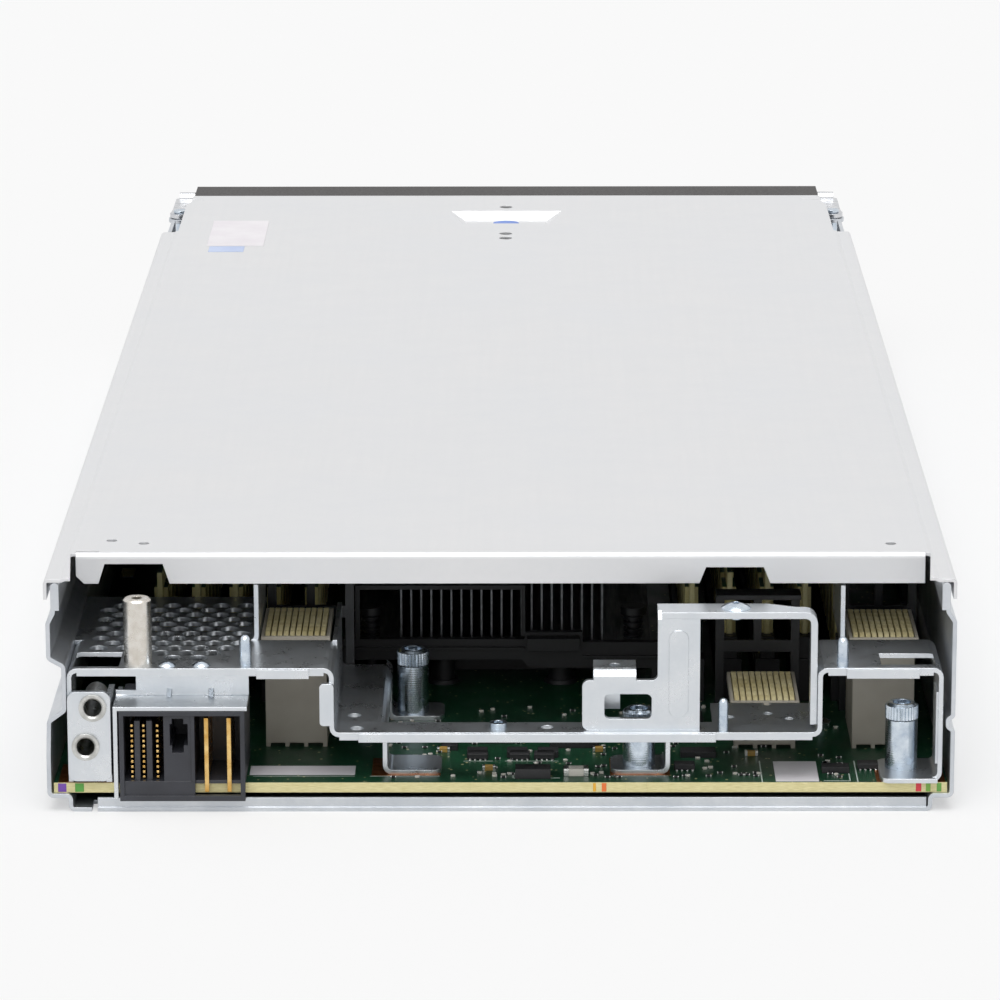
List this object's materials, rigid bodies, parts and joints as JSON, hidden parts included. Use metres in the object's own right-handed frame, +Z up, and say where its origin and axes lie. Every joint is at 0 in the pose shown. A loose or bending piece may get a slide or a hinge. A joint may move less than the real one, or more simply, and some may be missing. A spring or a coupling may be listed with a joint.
{
  "type": "blade server",
  "caption": "Half-wide blade server node with a folded sheet-metal tray and cover, rear connector bay with card shelves, finned heat sinks, memory banks, drive trays and front release levers.",
  "frame": {"origin": "under the middle of the body, on the plane that it rests on", "axes": "+X to the right seen from the connector end, +Y towards the front bezel, +Z up"},
  "size_m": [0.218, 0.493, 0.058],
  "materials": {
    "tray_steel": "galvanised sheet, satin",
    "cover_steel": "galvanised sheet, satin, faintly mottled",
    "bracket_steel": "galvanised sheet, satin",
    "touch_blue": "printed, matte",
    "board_green": "solder mask over glass laminate",
    "fastener_zinc": "bluish zinc plate, bright",
    "pin_nickel": "nickel plate",
    "bushing_steel": "machined",
    "power_plastic": "moulded, matte",
    "contact_gold": "gold plate",
    "connector_beige": "moulded liquid-crystal polymer",
    "contact_straw": "moulded wafers with contacts",
    "frame_dark": "dark sheet, matte",
    "sink_aluminium": "stamped fins, satin",
    "post_black": "moulded, matte",
    "socket_black": "moulded, matte",
    "lid_nickel": "nickel-plated lid",
    "module_green": "solder mask with black chips",
    "part_dark": "moulded epoxy",
    "cell_steel": "stamped steel",
    "lever_steel": "plated, satin",
    "grip_plastic": "moulded, fine texture",
    "drive_metal": "cast and stamped, satin",
    "tray_metal": "stamped, satin",
    "bezel_plastic": "moulded, fine texture",
    "grille_steel": "perforated sheet, black",
    "button_silver": "moulded, satin",
    "light_green": "light pipes",
    "port_steel": "plated shell"
  },
  "bodies": {
    "chassis": {"chassis_tray": "tray_steel", "system_board": "board_green", "board_screws": "fastener_zinc", "rear_bracket": "bracket_steel", "strap_bracket": "bracket_steel", "bracket_fasteners": "fastener_zinc", "guide_socket_plate": "bracket_steel", "guide_bushings": "bushing_steel", "power_housing": "power_plastic", "power_signal_pins": "contact_gold", "power_blades": "contact_gold", "power_bracket": "bracket_steel", "io_connector_left": "connector_beige", "io_connector_middle": "connector_beige", "io_connector_right": "connector_beige", "io_contacts": "contact_straw", "tall_standoff": "pin_nickel", "locating_pins": "fastener_zinc", "thumbscrew_sleeves": "fastener_zinc", "card_frames": "frame_dark", "heat_sink_rear": "sink_aluminium", "heat_sink_front": "sink_aluminium", "heat_sink_posts": "post_black", "heat_sink_screws": "fastener_zinc", "cpu_sockets": "socket_black", "processors": "lid_nickel", "air_baffle": "socket_black", "memory_sockets": "connector_beige", "memory_left": "module_green", "memory_right": "module_green", "power_inductors": "part_dark", "board_chips": "part_dark", "chip_heat_sink": "frame_dark", "coin_cell": "cell_steel", "front_frame": "tray_steel", "lever_pins": "pin_nickel", "drive_cage": "tray_steel", "drive_backplane": "board_green", "front_bezel": "bezel_plastic", "bezel_grille": "grille_steel", "control_panel": "bezel_plastic", "indicator_lights": "light_green", "front_ports": "port_steel"},
    "cover": {"top_cover": "cover_steel", "touch_point": "touch_blue"},
    "tray_lower": {"drive_tray_lower": "tray_metal", "drive_lower": "drive_metal"},
    "tray_upper": {"drive_tray_upper": "tray_metal", "drive_upper": "drive_metal"},
    "handle_lower": {"tray_handle_lower": "grip_plastic"},
    "handle_upper": {"tray_handle_upper": "grip_plastic"},
    "power_button": {"power_button": "button_silver"},
    "lever_left": {"lever_left_arm": "lever_steel", "lever_left_grip": "grip_plastic"},
    "lever_right": {"lever_right_arm": "lever_steel", "lever_right_grip": "grip_plastic"},
    "thumbscrew_left": {"thumbscrew_left": "fastener_zinc"},
    "thumbscrew_middle": {"thumbscrew_middle": "fastener_zinc"},
    "thumbscrew_right": {"thumbscrew_right": "fastener_zinc"}
  },
  "joints": [
    {"name": "cover_slide", "type": "slide", "parent": "chassis", "child": "cover", "axis": [0, -1, 0], "range_m": [0, 0.013]},
    {"name": "tray_slide_lower", "type": "slide", "parent": "chassis", "child": "tray_lower", "axis": [0, 1, 0], "range_m": [0, 0.115]},
    {"name": "handle_hinge_lower", "type": "hinge", "parent": "tray_lower", "child": "handle_lower", "pos_m": [-0.0687, 0.2423, 0.01525], "axis": [0, 0, 1], "range_deg": [0, 60]},
    {"name": "tray_slide_upper", "type": "slide", "parent": "chassis", "child": "tray_upper", "axis": [0, 1, 0], "range_m": [0, 0.115]},
    {"name": "handle_hinge_upper", "type": "hinge", "parent": "tray_upper", "child": "handle_upper", "pos_m": [-0.0687, 0.2423, 0.03675], "axis": [0, 0, 1], "range_deg": [0, 60]},
    {"name": "power_button_press", "type": "slide", "parent": "chassis", "child": "power_button", "axis": [0, -1, 0], "range_m": [0, 0.0012], "stiffness_N_per_m": 300, "springref_m": -0.001},
    {"name": "lever_left_hinge", "type": "hinge", "parent": "chassis", "child": "lever_left", "pos_m": [-0.1052, 0.2175, 0.0306], "axis": [0, 0, 1], "range_deg": [0, 75]},
    {"name": "lever_right_hinge", "type": "hinge", "parent": "chassis", "child": "lever_right", "pos_m": [0.1052, 0.2175, 0.0306], "axis": [0, 0, -1], "range_deg": [0, 75]},
    {"name": "thumbscrew_left_turn", "type": "hinge", "parent": "chassis", "child": "thumbscrew_left", "pos_m": [-0.022, -0.1879, 0.015], "axis": [0, 0, 1], "continuous": true},
    {"name": "thumbscrew_middle_turn", "type": "hinge", "parent": "chassis", "child": "thumbscrew_middle", "pos_m": [0.0334, -0.2326, 0.015], "axis": [0, 0, 1], "continuous": true},
    {"name": "thumbscrew_right_turn", "type": "hinge", "parent": "chassis", "child": "thumbscrew_right", "pos_m": [0.0965, -0.235, 0.015], "axis": [0, 0, 1], "continuous": true}
  ]
}
